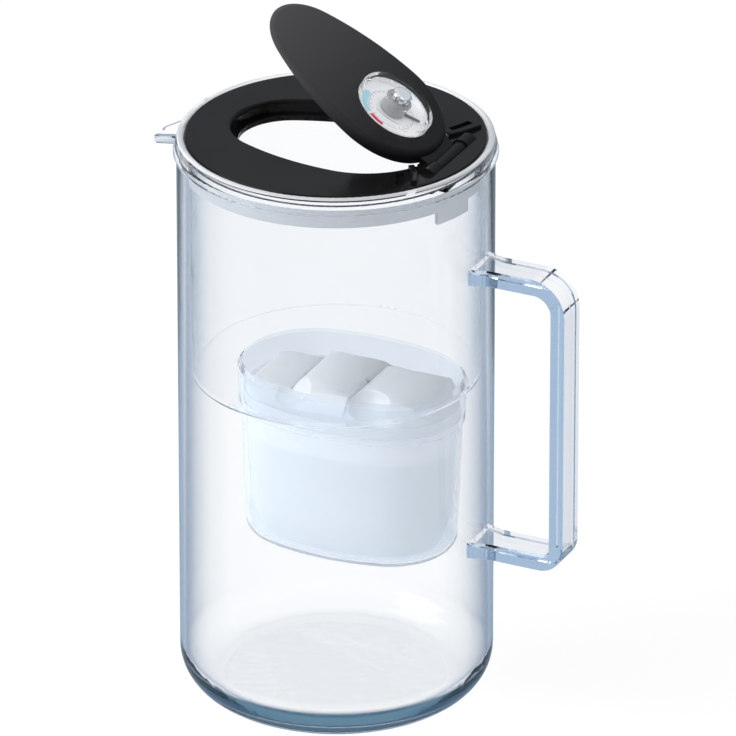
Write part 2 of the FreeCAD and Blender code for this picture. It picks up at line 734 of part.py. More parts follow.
def cartridge_media():
    inner = egg_solid(OVAL, inside_levels(CART_WALL + BAND_T))
    return inner.cut([outlet_screen(), inlet_screen()])


def arch(points, base):
    """Face under the arc through three points, closed at the base height."""
    low_first = V(points[0].x, points[0].y, base)
    low_last = V(points[2].x, points[2].y, base)
    edges = [Part.Arc(*points).toShape()]
    edges.append(Part.LineSegment(points[2], low_last).toShape())
    edges.append(Part.LineSegment(low_last, low_first).toShape())
    edges.append(Part.LineSegment(low_first, points[0]).toShape())
    return Part.Face(Part.Wire(edges))


def hump(path, base):
    """One hump of the cap: an arch along the cap crossed with an arch over it."""
    along = [V(SOCKET_X + x, -SOCKET_B, base + z) for x, z in path]
    over = [V(along[0].x, -CROWN_HALF, base + CROWN_FOOT),
            V(along[0].x, 0, base + path[1][1]),
            V(along[0].x, CROWN_HALF, base + CROWN_FOOT)]
    ridge = arch(along, base).extrude(V(0, 2 * SOCKET_B, 0))
    return ridge.common(arch(over, base).extrude(V(along[2].x - along[0].x, 0, 0)))


def cap_block(drop, inset):
    """Three humps inside the oval, on a low brim; lowered and drawn in for the inside."""
    base = CAP_Z - drop
    edge = -SOCKET_DRAFT - SOCKET_WALL - GAP - inset
    ends = [(-CAP_END, CAP_END_RISE), (CAP_END, CAP_END_RISE)]
    path = [ends[0], HUMP_LEFT, VALLEY_LEFT, HUMP_MID, VALLEY_RIGHT, HUMP_RIGHT, ends[1]]
    humps = [hump(path[i:i + 3], base) for i in (0, 2, 4)]
    dome = egg_solid(OVAL, [(base, edge), (CAP_Z + HUMP_MID[1], edge - CAP_LEAN)])
    brim = egg_solid(OVAL, [(base, edge), (base + BRIM_H, edge)])
    return humps[0].fuse(humps[1:]).common(dome).fuse(brim)


def cartridge_cap():
    cap = cap_block(0, 0)
    inside = cap_block(CAP_WALL, CAP_WALL)
    for x, y, radius in SCOOPS:
        for sense in (-1, 1):
            foot = V(SOCKET_X + x, sense * y, CAP_Z - CAP_WALL)
            cap = cap.cut(Part.makeSphere(radius, V(foot.x, foot.y, CAP_Z + SCOOP_RISE)))
            inside = inside.cut(Part.makeCylinder(radius, HUMP_MID[1], foot))
    cap = cap.cut(inside)
    for x in (VALLEY_LEFT[0], VALLEY_RIGHT[0]):
        cap = cap.cut(Part.makeCylinder(INLET_R, HUMP_MID[1], V(SOCKET_X + x, 0, CAP_Z)))
    return cap.removeSplitter()


FIXED = [glass_jug, glass_handle, funnel, funnel_rim, funnel_gasket, lid_plate, hinge_pin,
         cartridge_shell, cartridge_gasket, cartridge_cap, cartridge_media, inlet_screen, outlet_screen]
ON_FLAP = [flap_cover, flap_liner, counter_housing, scale_disc, counter_lens, detent_spring,
           reset_knob, knob_ring, counter_pointer, counter_spindle, click_wheel]

for make in FIXED + ON_FLAP:
    shape = make()
    if make in ON_FLAP:
        shape.rotate(V(HINGE_X, 0, HINGE_Z), ACROSS, FLAP_OPEN_DEG)
    shape.exportStep("parts/" + make.__name__ + ".step")
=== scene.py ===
"""Looks of a glass water filter pitcher.

Clear glass jug, clear funnel with a milky cup, black lid and flap, change counter and milky cartridge.
"""

import json
import math

import bmesh
import bpy
from bpy.props import FloatProperty, FloatVectorProperty, PointerProperty
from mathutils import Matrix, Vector


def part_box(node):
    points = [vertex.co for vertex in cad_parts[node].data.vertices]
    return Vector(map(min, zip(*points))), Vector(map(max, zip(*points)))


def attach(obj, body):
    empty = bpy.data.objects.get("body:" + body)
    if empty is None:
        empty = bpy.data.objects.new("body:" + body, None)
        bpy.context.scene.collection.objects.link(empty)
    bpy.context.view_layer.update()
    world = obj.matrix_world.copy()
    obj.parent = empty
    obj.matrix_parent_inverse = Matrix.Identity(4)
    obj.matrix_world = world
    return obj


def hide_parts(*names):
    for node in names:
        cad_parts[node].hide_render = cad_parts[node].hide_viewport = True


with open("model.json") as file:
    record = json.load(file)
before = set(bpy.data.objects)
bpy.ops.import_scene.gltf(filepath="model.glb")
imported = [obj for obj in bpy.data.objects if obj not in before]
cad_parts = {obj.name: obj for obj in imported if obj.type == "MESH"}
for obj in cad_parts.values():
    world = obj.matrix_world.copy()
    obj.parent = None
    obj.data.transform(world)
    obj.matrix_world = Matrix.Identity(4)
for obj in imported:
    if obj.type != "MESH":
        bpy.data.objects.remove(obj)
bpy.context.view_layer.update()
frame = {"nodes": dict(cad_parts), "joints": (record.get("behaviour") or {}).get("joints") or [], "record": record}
JOINTS = {joint["name"]: joint for joint in frame["joints"]}
BODY_OF = {}
for body_name, node_names in frame["record"]["behaviour"]["bodies"].items():
    for node_name in node_names:
        BODY_OF[node_name] = body_name

bl_info = {
    "name": "Filter pitcher looks",
    "version": (1, 0, 0),
    "blender": (4, 5, 0),
    "location": "View3D > Sidebar > Pitcher",
    "description": "Dresses the filter pitcher in glass, clear plastic, black and milky finishes",
    "category": "Object",
}

# Lengths typed here are in metres and end in _M; the others come from the frame.
MERGE_M = 0.00002
SLIVER_M = 0.000005
# A face is turned to one side when this much of its normal points there.
SIDE_TURN = 0.7
SHARP_DEG = 32.0
CAP_SHARP_DEG = 75.0
DIAL_CENTRE = Vector(JOINTS["dial_turn"]["pos_m"])
DIAL_AXIS = Vector(JOINTS["dial_turn"]["axis"])
DIAL_TILT = math.atan2(DIAL_AXIS.x, DIAL_AXIS.z)
JUG_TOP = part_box("glass_jug")[1].z
FLAP_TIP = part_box("flap_cover")[1].z
LENS_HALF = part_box("counter_lens")[1].y
CUP_EDGE_M = 0.0004
# Height above the jug's top where the flap's painted highlight begins.
PAINTED_HIGHLIGHT_FROM_M = 0.018
WORN_TONE = 1.6
CAP_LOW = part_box("cartridge_cap")[0]
CAP_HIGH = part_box("cartridge_cap")[1]
CUP_BELOW_M = 0.002
# Middles of the round hollows in the cap's sides, from the middle of the cap.
SCOOPS_M = [(-0.019, 0.024), (0.017, 0.023)]
SCOOP_RISE_M = 0.0136
SCOOP_REACH_M = 0.0117
FUNNEL_BEND = 1.07
RIM_BEND = 1.1
LENS_BEND = 1.12
PIN_STEEL = (0.62, 0.62, 0.63)
LEAF_STEEL = (0.6, 0.6, 0.6)
PLATE_BRIGHT = (0.78, 0.79, 0.80)
CUP_PALE = (0.85, 0.86, 0.88)
POINTER_DARK = (0.12, 0.12, 0.13)
WHEEL_WHITE = (0.80, 0.80, 0.80)
WHITE = (1.0, 1.0, 1.0, 1.0)
BEAD_M = 0.0011
BEAD_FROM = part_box("funnel_rim")[1].z - BEAD_M


def colour_prop(name, text, default):
    return FloatVectorProperty(name=name, description=text, default=default, size=3, min=0, max=1,
                               subtype="COLOR")


def length_prop(name, text, default):
    return FloatProperty(name=name, description=text, default=default, min=0, unit="LENGTH")


def angle_prop(name, text, default_deg):
    return FloatProperty(name=name, description=text, default=math.radians(default_deg), unit="ROTATION")


class PitcherLooks(bpy.types.PropertyGroup):
    """Colours of the finishes."""

    glass_clear: colour_prop("Glass", "Glass seen square on", (0.975, 0.982, 0.988))
    glass_edge: colour_prop("Glass edge", "Glass seen along its wall", (0.005, 0.10, 0.26))
    glass_deep: colour_prop("Handle depth", "Handle seen through its width", (0.36, 0.49, 0.66))
    heel_steel: colour_prop("Heel", "Thick glass of the heel", (0.016, 0.06, 0.115))
    heel_blue: colour_prop("Foot", "Bottom edge of the heel", (0.004, 0.09, 0.38))
    plastic_clear: colour_prop("Clear plastic", "Funnel wall seen square on", (0.97, 0.975, 0.982))
    plastic_edge: colour_prop("Plastic edge", "Funnel wall seen along itself", (0.66, 0.76, 0.86))
    cup_white: colour_prop("Cup", "Milky cup that holds the cartridge", (0.86, 0.91, 0.97))
    # The rim's white is a painted highlight along the bead's rounded top.
    rim_painted_highlight: colour_prop("Rim", "Painted-highlight rim of the funnel", (0.90, 0.92, 0.94))
    lid_black: colour_prop("Lid", "Black lid and flap", (0.006, 0.006, 0.0064))
    gasket_grey: colour_prop("Gasket", "Soft grip collar", (0.60, 0.64, 0.69))
    cartridge_white: colour_prop("Cartridge", "Milky filter body", (0.90, 0.93, 0.97))
    scale_white: colour_prop("Scale", "Printed disc of the counter", (0.97, 0.975, 0.98))
    scale_blue: colour_prop("Scale blue", "Fresh part of the printed arc", (0.42, 0.76, 0.90))
    scale_red: colour_prop("Scale red", "Change-now block of the printed arc", (0.75, 0.03, 0.12))
    knob_grey: colour_prop("Knob ring", "Grey hub under the knob", (0.30, 0.31, 0.32))
    mirror_blue: colour_prop("Mirrored", "Horizon and floor as glass reflects them", (0.11, 0.22, 0.33))
    floor_white: colour_prop("Floor", "Studio floor and backdrop", (1.0, 1.0, 1.0))


class PitcherStage(bpy.types.PropertyGroup):
    """Camera and light."""

    azimuth: angle_prop("Azimuth", "Camera bearing from the front, towards the handle", 25.5)
    elevation: angle_prop("Elevation", "Camera height above the horizon", 25.42)
    distance: length_prop("Distance", "Camera distance from its target", 4.5)
    target: FloatVectorProperty(name="Target", description="Point at the middle of the picture",
                                default=(0.011955, 0.005702, 0.1451), size=3, subtype="TRANSLATION")
    lens: FloatProperty(name="Lens", description="Focal length in millimetres on a 36 mm sensor",
                        default=528.03, min=1)
    key_power: FloatProperty(name="Key", description="Large soft lamp on the lip side", default=20.0,
                             min=0, unit="POWER")
    fill_power: FloatProperty(name="Fill", description="Soft lamp above the handle", default=2.0,
                              min=0, unit="POWER")
    dome: FloatProperty(name="Dome", description="Even light from all round", default=0.72, min=0)
    floor_half: length_prop("Floor half width", "Half the side of the floor", 6.0)


def looks():
    return bpy.context.scene.pitcher_looks


def rgba(colour):
    return (*colour, 1.0)


def toned(colour, tone):
    """Colour made darker or paler by a factor, kept within white."""
    return rgba([min(1.0, level * tone) for level in colour])


def feed(tree, socket, value):
    """Link a socket to another one, or set it to a constant."""
    if isinstance(value, bpy.types.NodeSocket):
        tree.links.new(value, socket)
    else:
        socket.default_value = value


def set_inputs(tree, node, inputs):
    for name, value in inputs.items():
        feed(tree, node.inputs[name], value)


def add(tree, kind, inputs=None, **settings):
    """New shader node; each input is a value or a socket to link."""
    node = tree.nodes.new(kind)
    for name, value in settings.items():
        setattr(node, name, value)
    set_inputs(tree, node, inputs or {})
    return node


def math_node(tree, operation, first, second=0.0):
    return add(tree, "ShaderNodeMath", {0: first, 1: second}, operation=operation).outputs[0]


# Places of the colour sockets on a mix node, whose names are shared by its other kinds of value.
MIX_FIRST = 6
MIX_SECOND = 7
MIX_RESULT = 2


def mix_colour(tree, factor, first, second):
    node = add(tree, "ShaderNodeMix", {"Factor": factor}, data_type="RGBA")
    feed(tree, node.inputs[MIX_FIRST], first)
    feed(tree, node.inputs[MIX_SECOND], second)
    return node.outputs[MIX_RESULT]


def ramp(tree, factor, stops):
    """Straight-line value map through (in, out) stops, given as grey levels."""
    node = add(tree, "ShaderNodeValToRGB", {"Fac": factor})
    band = node.color_ramp
    while len(band.elements) < len(stops):
        band.elements.new(0.5)
    for element, (place, level) in zip(band.elements, stops):
        element.position = place
        element.color = (level, level, level, 1.0)
    return node.outputs["Color"]


def new_group(name, inputs, outputs):
    """Empty shader group with float inputs (name, default) and float outputs."""
    tree = bpy.data.node_groups.new(name, "ShaderNodeTree")
    for socket, default in inputs:
        item = tree.interface.new_socket(socket, in_out="INPUT", socket_type="NodeSocketFloat")
        item.default_value = default
    for socket in outputs:
        tree.interface.new_socket(socket, in_out="OUTPUT", socket_type="NodeSocketFloat")
    return tree, tree.nodes.new("NodeGroupInput"), tree.nodes.new("NodeGroupOutput")


def use_group(tree, name, **inputs):
    node = tree.nodes.new("ShaderNodeGroup")
    node.node_tree = bpy.data.node_groups[name]
    for socket, value in inputs.items():
        node.inputs[socket].default_value = value
    return node


def clouded(tree, grain, colour, low, high):
    """Colour that drifts between two tones in soft clouds."""
    return mix_colour(tree, grain.outputs["Haze"], toned(colour, low), toned(colour, high))


def flat_radius(tree, x, y):
    """Distance from the axis in a plane."""
    square = math_node(tree, "ADD", math_node(tree, "MULTIPLY", x, x), math_node(tree, "MULTIPLY", y, y))
    return math_node(tree, "SQRT", square)


def make_grain_group():
    """Moulded surface: fine grain for bump and a broad mottle for gloss."""
    tree, source, result = new_group("Moulded grain", [("Scale", 900.0), ("Mottle", 60.0)],
                                     ["Height", "Haze"])
    place = add(tree, "ShaderNodeTexCoord").outputs["Object"]
    fine = add(tree, "ShaderNodeTexNoise", {"Vector": place, "Detail": 3.0,
                                            "Scale": source.outputs["Scale"]})
    broad = add(tree, "ShaderNodeTexNoise", {"Vector": place, "Detail": 4.0,
                                             "Scale": source.outputs["Mottle"]})
    tree.links.new(fine.outputs["Fac"], result.inputs["Height"])
    tree.links.new(broad.outputs["Fac"], result.inputs["Haze"])


def make_heel_group():
    """Mask of the heel: fades in between two heights, away from the jug's axis."""
    tree, source, result = new_group("Heel", [("Top", 0.011), ("Full", 0.0085), ("Inner", 0.05)], ["Mask"])
    place = add(tree, "ShaderNodeTexCoord").outputs["Object"]
    parts = add(tree, "ShaderNodeSeparateXYZ", {"Vector": place})
    radius = flat_radius(tree, parts.outputs["X"], parts.outputs["Y"])
    out = math_node(tree, "GREATER_THAN", radius, source.outputs["Inner"])
    low = add(tree, "ShaderNodeMapRange", {"Value": parts.outputs["Z"], "From Min": source.outputs["Top"],
                                           "From Max": source.outputs["Full"]}).outputs["Result"]
    tree.links.new(math_node(tree, "MULTIPLY", out, low), result.inputs["Mask"])


def make_dial_group():
    """Radius and bearing round the counter's axis."""
    tree, _, result = new_group("Dial place", [], ["Radius", "Bearing"])
    place = add(tree, "ShaderNodeTexCoord").outputs["Object"]
    local = add(tree, "ShaderNodeVectorMath", {0: place, 1: DIAL_CENTRE}, operation="SUBTRACT").outputs[0]
    flat = add(tree, "ShaderNodeVectorRotate", {"Vector": local, "Angle": -DIAL_TILT},
               rotation_type="Y_AXIS").outputs[0]
    parts = add(tree, "ShaderNodeSeparateXYZ", {"Vector": flat})
    x, y = parts.outputs["X"], parts.outputs["Y"]
    tree.links.new(flat_radius(tree, x, y), result.inputs["Radius"])
    tree.links.new(math_node(tree, "ARCTAN2", y, x), result.inputs["Bearing"])


def new_material(name):
    """Material with a Principled shader; returns it with its tree and shader."""
    material = bpy.data.materials.new(name)
    material.use_nodes = True
    tree = material.node_tree
    return material, tree, tree.nodes["Principled BSDF"]


def bump(tree, height, distance, strength):
    node = add(tree, "ShaderNodeBump", {"Height": height, "Distance": distance, "Strength": strength})
    return node.outputs[0]


LIGHT_FILM = (0.985, 0.99, 0.995)


def let_light_through(tree, shader):
    """Lamps and scattered light pass a clear piece straight, so what stands behind it is lit."""
    path = add(tree, "ShaderNodeLightPath")
    lit = math_node(tree, "MAXIMUM", path.outputs["Is Shadow Ray"], path.outputs["Is Diffuse Ray"])
    film = add(tree, "ShaderNodeBsdfTransparent", {"Color": rgba(LIGHT_FILM)})
    both = add(tree, "ShaderNodeMixShader", {"Fac": lit})
    tree.links.new(shader.outputs[0], both.inputs[1])
    tree.links.new(film.outputs[0], both.inputs[2])
    tree.links.new(both.outputs[0], tree.nodes["Material Output"].inputs["Surface"])


def entering(tree):
    """One where a ray goes in, zero where it comes out again."""
    inside = add(tree, "ShaderNodeNewGeometry").outputs["Backfacing"]
    return math_node(tree, "SUBTRACT", 1.0, inside)


def edge_tint(tree, stops, clear, edge):
    """Clear colour square on, edge colour where a ray goes in along the wall."""
    facing = add(tree, "ShaderNodeLayerWeight", {"Blend": 0.5}).outputs["Facing"]
    share = math_node(tree, "MULTIPLY", ramp(tree, facing, stops), entering(tree))
    return mix_colour(tree, share, rgba(clear), rgba(edge))


GLASS_STOPS = [(0.0, 0.0), (0.35, 0.03), (0.5, 0.15), (0.65, 0.45), (0.8, 0.85), (1.0, 1.0)]
PLASTIC_STOPS = [(0.0, 0.0), (0.6, 0.08), (1.0, 1.0)]

# Each band of the heel: top, height where it is full, inner radius, colour.
HEEL_BANDS = [(0.0185, 0.0165, 0.0635, "heel_steel"), (0.0100, 0.0085, 0.0607, "heel_steel"),
              (0.0065, 0.0030, 0.0500, "heel_blue")]


def glass_finish():
    """Pressed glass: clear square on, grey-blue along the wall, blue in the heel."""
    material, tree, shader = new_material("Pressed glass")
    tint = edge_tint(tree, GLASS_STOPS, looks().glass_clear, looks().glass_edge)
    goes_in = entering(tree)
    for top, full, inner, colour in HEEL_BANDS:
        heel = use_group(tree, "Heel", Top=top, Full=full, Inner=inner).outputs["Mask"]
        share = math_node(tree, "MULTIPLY", heel, goes_in)
        tint = mix_colour(tree, share, tint, rgba(getattr(looks(), colour)))
    grain = use_group(tree, "Moulded grain", Scale=14.0, Mottle=30.0)
    set_inputs(tree, shader, {
        "Base Color": tint, "Roughness": 0.0, "IOR": 1.3, "Transmission Weight": 1.0,
        "Normal": bump(tree, grain.outputs["Height"], 0.0004, 0.2),
    })
    let_light_through(tree, shader)
    return material


def handle_finish(name, deep):
    """Handle glass; its deep faces, seen through the handle's width, are bluer."""
    material, tree, shader = new_material(name)
    grain = use_group(tree, "Moulded grain", Scale=14.0, Mottle=30.0)
    if deep:
        tint = clouded(tree, grain, looks().glass_deep, 1.0, 1.06)
    else:
        tint = edge_tint(tree, GLASS_STOPS, looks().glass_clear, looks().glass_edge)
    set_inputs(tree, shader, {
        "Base Color": tint, "Roughness": 0.0, "IOR": 1.47, "Transmission Weight": 1.0,
        "Normal": bump(tree, grain.outputs["Height"], 0.0004, 0.2),
    })
    let_light_through(tree, shader)
    return material


def clear_plastic_finish(name, bend):
    """Clear moulding; bend is its refractive index."""
    material, tree, shader = new_material(name)
    grain = use_group(tree, "Moulded grain", Scale=22.0, Mottle=40.0)
    set_inputs(tree, shader, {
        "Base Color": edge_tint(tree, PLASTIC_STOPS, looks().plastic_clear, looks().plastic_edge),
        "Roughness": 0.02, "IOR": bend, "Transmission Weight": 1.0,
        "Normal": bump(tree, grain.outputs["Height"], 0.0003, 0.15),
    })
    let_light_through(tree, shader)
    return material


def cup_finish():
    """Milky cup of the funnel, still clear enough to show the cartridge."""
    material, tree, shader = new_material("Milky cup")
    grain = use_group(tree, "Moulded grain", Scale=500.0, Mottle=35.0)
    set_inputs(tree, shader, {
        "Base Color": clouded(tree, grain, looks().cup_white, 0.97, 1.0),
        "Roughness": 0.08, "IOR": 1.07, "Transmission Weight": 0.8,
        "Normal": bump(tree, grain.outputs["Height"], 0.00003, 0.2),
    })
    let_light_through(tree, shader)
    return material


def painted_highlight_bead_finish():
    """Frosted bead along the top of the funnel's rim; its white is a painted highlight of the bead's rounded top.
    """
    material, tree, shader = new_material("Painted-highlight rim")
    grain = use_group(tree, "Moulded grain", Scale=900.0, Mottle=70.0)
    set_inputs(tree, shader, {
        "Base Color": clouded(tree, grain, looks().rim_painted_highlight, 0.96, 1.0),
        "Roughness": 0.3, "IOR": 1.4, "Transmission Weight": 0.4,
        "Normal": bump(tree, grain.outputs["Height"], 0.00004, 0.3),
    })
    return material


def black_finish(name, rough, spread, specular, painted_highlight):
    """Black moulding with fine grain; a painted highlight pales it towards the flap's tip."""
    material, tree, shader = new_material(name)
    grain = use_group(tree, "Moulded grain", Scale=1400.0, Mottle=45.0)
    haze = ramp(tree, grain.outputs["Haze"], [(0.3, rough - spread), (0.7, rough + spread)])
    shade = ramp(tree, grain.outputs["Haze"], [(0.3, 0.0), (0.75, 1.0)])
    black = looks().lid_black
    moulded = mix_colour(tree, shade, rgba(black), toned(black, WORN_TONE))
    # Painted highlight: the base colour pales with height up to the flap's tip, in place of a lamp's reflection
    # there.
    place = add(tree, "ShaderNodeTexCoord").outputs["Object"]
    height = add(tree, "ShaderNodeSeparateXYZ", {"Vector": place}).outputs["Z"]
    painted_highlight_rise = add(tree, "ShaderNodeMapRange", {"Value": height, "From Min": JUG_TOP + PAINTED_HIGHLIGHT_FROM_M,
                                            "From Max": FLAP_TIP}).outputs["Result"]
    set_inputs(tree, shader, {
        "Base Color": mix_colour(tree, painted_highlight_rise, moulded, toned(black, painted_highlight)), "Roughness": haze,
        "Specular IOR Level": specular,
        "Normal": bump(tree, grain.outputs["Height"], 0.00004, 0.35),
    })
    return material


def soft_finish(name, colour, see_through):
    """Soft silicone, slightly translucent."""
    material, tree, shader = new_material(name)
    grain = use_group(tree, "Moulded grain", Scale=700.0, Mottle=90.0)
    set_inputs(tree, shader, {
        "Base Color": clouded(tree, grain, colour, 1.0, 1.12), "Roughness": 0.5,
        "Transmission Weight": see_through, "IOR": 1.41,
        "Normal": bump(tree, grain.outputs["Height"], 0.00006, 0.4),
    })
    return material


def milky_finish(name, depth):
    """Milky moulding of the filter body and cap; depth is the tone of its darker clouds."""
    material, tree, shader = new_material(name)
    grain = use_group(tree, "Moulded grain", Scale=500.0, Mottle=35.0)
    set_inputs(tree, shader, {
        "Base Color": clouded(tree, grain, looks().cartridge_white, depth, 1.0), "Roughness": 0.35,
        "Transmission Weight": 0.25, "IOR": 1.35,
        "Normal": bump(tree, grain.outputs["Height"], 0.00005, 0.3),
    })
    return material


def granule_finish():
    """Pale filter granules."""
    material, tree, shader = new_material("Filter granules")
    place = add(tree, "ShaderNodeTexCoord").outputs["Object"]
    cells = add(tree, "ShaderNodeTexVoronoi", {"Vector": place, "Scale": 900.0})
    shade = ramp(tree, cells.outputs["Distance"], [(0.0, 0.95), (0.8, 0.62)])
    set_inputs(tree, shader, {
        "Base Color": shade, "Roughness": 0.7,
        "Normal": bump(tree, cells.outputs["Distance"], 0.0006, 0.6),
    })
    return material


def mesh_finish():
    """Fine woven screen."""
    material, tree, shader = new_material("Woven screen")
    place = add(tree, "ShaderNodeTexCoord").outputs["Object"]
    warp = add(tree, "ShaderNodeTexWave", {"Vector": place, "Scale": 260.0}, bands_direction="X")
    weft = add(tree, "ShaderNodeTexWave", {"Vector": place, "Scale": 260.0}, bands_direction="Y")
    weave = math_node(tree, "MAXIMUM", warp.outputs["Fac"], weft.outputs["Fac"])
    set_inputs(tree, shader, {
        "Base Color": ramp(tree, weave, [(0.0, 0.55), (1.0, 0.92)]), "Roughness": 0.6,
        "Normal": bump(tree, weave, 0.0003, 0.7),
    })
    return material


LINE_LOW = 0.7
LINE_HIGH = 1.3


def metal_finish(name, colour, rough, stretch):
    """Steel with drawn lines; unstretched, the lines are the fine grain of bright plate."""
    material, tree, shader = new_material(name)
    place = add(tree, "ShaderNodeTexCoord").outputs["Object"]
    drawn = add(tree, "ShaderNodeMapping", {"Vector": place, "Scale": stretch}).outputs[0]
    lines = add(tree, "ShaderNodeTexNoise", {"Vector": drawn, "Scale": 600.0, "Detail": 3.0}).outputs["Fac"]
    set_inputs(tree, shader, {
        "Base Color": rgba(colour), "Metallic": 1.0,
        "Roughness": ramp(tree, lines, [(0.3, rough * LINE_LOW), (0.7, rough * LINE_HIGH)]),
        "Normal": bump(tree, lines, 0.00003, 0.3),
    })
    return material


def grey_finish(name, colour, rough):
    """Small grey and white mouldings of the counter."""
    material, tree, shader = new_material(name)
    grain = use_group(tree, "Moulded grain", Scale=1500.0, Mottle=300.0)
    set_inputs(tree, shader, {
        "Base Color": clouded(tree, grain, colour, 1.0, 1.2), "Roughness": rough,
        "Normal": bump(tree, grain.outputs["Height"], 0.00003, 0.3),
    })
    return material


def band_mask(tree, value, low, high):
    """One between two values, zero outside."""
    above = math_node(tree, "GREATER_THAN", value, low)
    under = math_node(tree, "LESS_THAN", value, high)
    return math_node(tree, "MULTIPLY", above, under)


ARC_IN_M = 0.0108
ARC_OUT_M = 0.0136
BLUE_FROM_DEG = -178.0
BLUE_TO_DEG = -118.0
RED_FROM_DEG = -112.0
RED_TO_DEG = -80.0
TICKS = 24
TICK_SHARE = (0.44, 0.56)
TICK_M = (0.0092, 0.0101)
RING_M = (0.0103, 0.0105)
INK_GREY = (0.35, 0.36, 0.38)


def scale_finish():
    """White printed disc: thin ring, ticks, blue arc and red block."""
    material, tree, shader = new_material("Printed scale")
    dial = use_group(tree, "Dial place")
    radius, bearing = dial.outputs["Radius"], dial.outputs["Bearing"]
    arc = band_mask(tree, radius, ARC_IN_M, ARC_OUT_M)
    blue = band_mask(tree, bearing, math.radians(BLUE_FROM_DEG), math.radians(BLUE_TO_DEG))
    red = band_mask(tree, bearing, math.radians(RED_FROM_DEG), math.radians(RED_TO_DEG))
    turn = math_node(tree, "FRACT", math_node(tree, "MULTIPLY", bearing, TICKS / (2 * math.pi)))
    ticks = math_node(tree, "MULTIPLY", band_mask(tree, turn, *TICK_SHARE), band_mask(tree, radius, *TICK_M))
    ring = band_mask(tree, radius, *RING_M)
    grain = use_group(tree, "Moulded grain", Scale=1200.0, Mottle=120.0)
    paper = clouded(tree, grain, looks().scale_white, 0.95, 1.0)
    ink = mix_colour(tree, math_node(tree, "MAXIMUM", ticks, ring), paper, rgba(INK_GREY))
    ink = mix_colour(tree, math_node(tree, "MULTIPLY", arc, blue), ink, rgba(looks().scale_blue))
    ink = mix_colour(tree, math_node(tree, "MULTIPLY", arc, red), ink, rgba(looks().scale_red))
    set_inputs(tree, shader, {
        "Base Color": ink, "Roughness": 0.45, "Normal": bump(tree, grain.outputs["Height"], 0.00002, 0.3),
    })
    return material


def smooth_copy(node, name, material, other=None, pick=None, sharp=SHARP_DEG):
    """Merged copy of a CAD node with smooth curves and crisp corners, standing for the node.

    Faces that pick chooses take the other material.
    """
    mesh = bpy.data.meshes.new(name)
    shape = bmesh.new()
    shape.from_mesh(frame["nodes"][node].data)
    bmesh.ops.remove_doubles(shape, verts=shape.verts, dist=MERGE_M)
    bmesh.ops.dissolve_degenerate(shape, edges=shape.edges, dist=SLIVER_M)
    limit = math.radians(sharp)
    for face in shape.faces:
        face.smooth = True
        if other is not None and pick(face):
            face.material_index = 1
    for edge in shape.edges:
        edge.smooth = edge.calc_face_angle(math.pi) < limit
    shape.to_mesh(mesh)
    shape.free()
    piece = bpy.data.objects.new(name, mesh)
    bpy.context.scene.collection.objects.link(piece)
    mesh.materials.append(material)
    if other is not None:
        mesh.materials.append(other)
    normals = piece.modifiers.new("Even normals", "WEIGHTED_NORMAL")
    normals.keep_sharp = True
    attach(piece, BODY_OF[node])
    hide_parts(node)


class PITCHER_OT_groups(bpy.types.Operator):
    """Build the shared surface effects"""

    bl_idname = "pitcher.groups"
    bl_label = "Shared effects"

    def execute(self, context):
        make_grain_group()
        make_heel_group()
        make_dial_group()
        return {"FINISHED"}


def on_handle_side(face):
    """True on the two flat sides of the handle."""
    return abs(face.normal.y) > SIDE_TURN


class PITCHER_OT_glass(bpy.types.Operator):
    """Dress the jug and its handle in pressed glass"""

    bl_idname = "pitcher.glass"
    bl_label = "Glass"

    def execute(self, context):
        smooth_copy("glass_jug", "jug_glass", glass_finish())
        smooth_copy("glass_handle", "handle_glass", handle_finish("Handle glass", False),
                    handle_finish("Handle side glass", True), on_handle_side)
        return {"FINISHED"}


def on_cup(face):
    """True on the cup under the reservoir, not on the reservoir's floor."""
    height = face.calc_center_median().z
    upright = abs(face.normal.z) < SIDE_TURN
    return height < CAP_LOW.z or (upright and height < CAP_HIGH.z - CUP_BELOW_M)


def on_bead(face):
    """True on the bead along the top of the rim ring."""
    return face.calc_center_median().z > BEAD_FROM


class PITCHER_OT_funnel(bpy.types.Operator):
    """Dress the funnel, its rim ring and its grip collar"""

    bl_idname = "pitcher.funnel"
    bl_label = "Funnel"

    def execute(self, context):
        clear = clear_plastic_finish("Clear funnel", FUNNEL_BEND)
        smooth_copy("funnel", "funnel_clear", clear, cup_finish(), on_cup)
        ring = clear_plastic_finish("Clear rim", RIM_BEND)
        # The bead on the ring's top takes the white painted highlight.
        smooth_copy("funnel_rim", "funnel_ring", ring, painted_highlight_bead_finish(), on_bead)
        collar = soft_finish("Grip collar", looks().gasket_grey, see_through=0.3)
        smooth_copy("funnel_gasket", "grip_collar", collar)
        return {"FINISHED"}


class PITCHER_OT_lid(bpy.types.Operator):
    """Dress the lid plate and its pin"""

    bl_idname = "pitcher.lid"
    bl_label = "Lid"

    def execute(self, context):
        black = black_finish("Black lid", rough=0.12, spread=0.03, specular=0.06, painted_highlight=1.0)
        steel = metal_finish("Pin steel", PIN_STEEL, rough=0.25, stretch=(1.0, 0.05, 1.0))
        smooth_copy("lid_plate", "lid_black", black)
        smooth_copy("hinge_pin", "pin_steel", steel)
        return {"FINISHED"}


def in_cup(face):
    """True on the inside of the counter's cup."""
    away = face.calc_center_median() - DIAL_CENTRE
    radial = away - DIAL_AXIS * away.dot(DIAL_AXIS)
    inward = face.normal.dot(radial.normalized()) < -SIDE_TURN or face.normal.dot(DIAL_AXIS) > SIDE_TURN
    return inward and radial.length < LENS_HALF + CUP_EDGE_M


